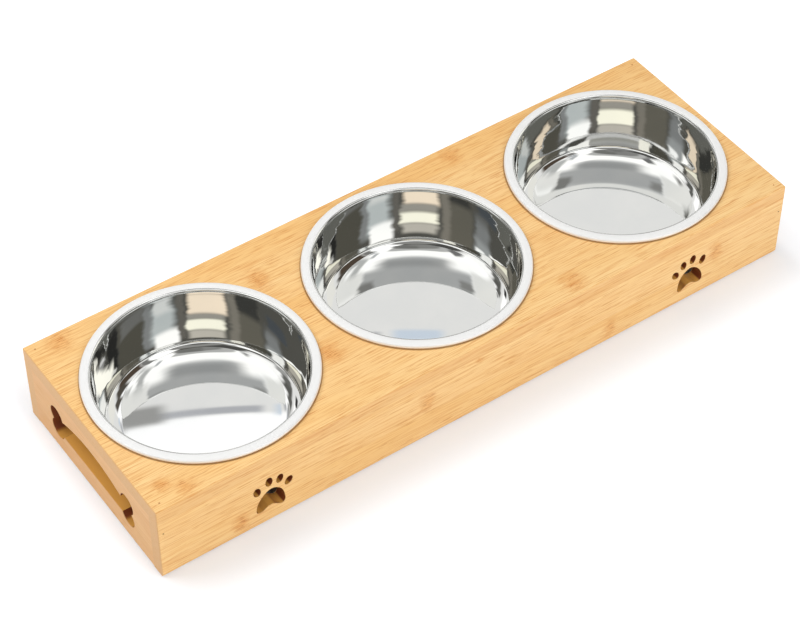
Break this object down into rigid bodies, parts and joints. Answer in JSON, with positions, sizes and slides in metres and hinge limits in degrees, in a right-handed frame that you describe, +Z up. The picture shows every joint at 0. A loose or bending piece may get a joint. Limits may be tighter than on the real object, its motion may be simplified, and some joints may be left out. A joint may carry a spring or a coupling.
{
  "type": "dog bowl with stand",
  "caption": "Low bamboo stand with round holes that hold lift-out steel food and water bowls, paw cut-outs in front and bone-shaped hand holes in the ends.",
  "frame": {"origin": "on the floor, under the middle of the stand", "axes": "+Z up, +X along the stand towards the right bowl, -Y towards the front board with the paw cut-outs"},
  "size_m": [0.48, 0.159, 0.063],
  "materials": {
    "bamboo": "satin varnish over laminated strips",
    "bowl_steel": "mirror-polished stainless steel, satin rim",
    "foot_pad": "matt",
    "pin_steel": "dull"
  },
  "bodies": {
    "stand": {"top_panel": "bamboo", "front_board": "bamboo", "back_board": "bamboo", "left_end_board": "bamboo", "right_end_board": "bamboo", "front_left_foot": "foot_pad", "front_right_foot": "foot_pad", "back_left_foot": "foot_pad", "back_right_foot": "foot_pad", "top_pins": "pin_steel", "front_pins": "pin_steel", "back_pins": "pin_steel"},
    "left_bowl": {"left_bowl": "bowl_steel"},
    "middle_bowl": {"middle_bowl": "bowl_steel"},
    "right_bowl": {"right_bowl": "bowl_steel"}
  },
  "joints": [
    {"name": "left_bowl_lift", "type": "slide", "parent": "stand", "child": "left_bowl", "axis": [0, 0, 1], "range_m": [0, 0.08]},
    {"name": "middle_bowl_lift", "type": "slide", "parent": "stand", "child": "middle_bowl", "axis": [0, 0, 1], "range_m": [0, 0.08]},
    {"name": "right_bowl_lift", "type": "slide", "parent": "stand", "child": "right_bowl", "axis": [0, 0, 1], "range_m": [0, 0.08]}
  ]
}
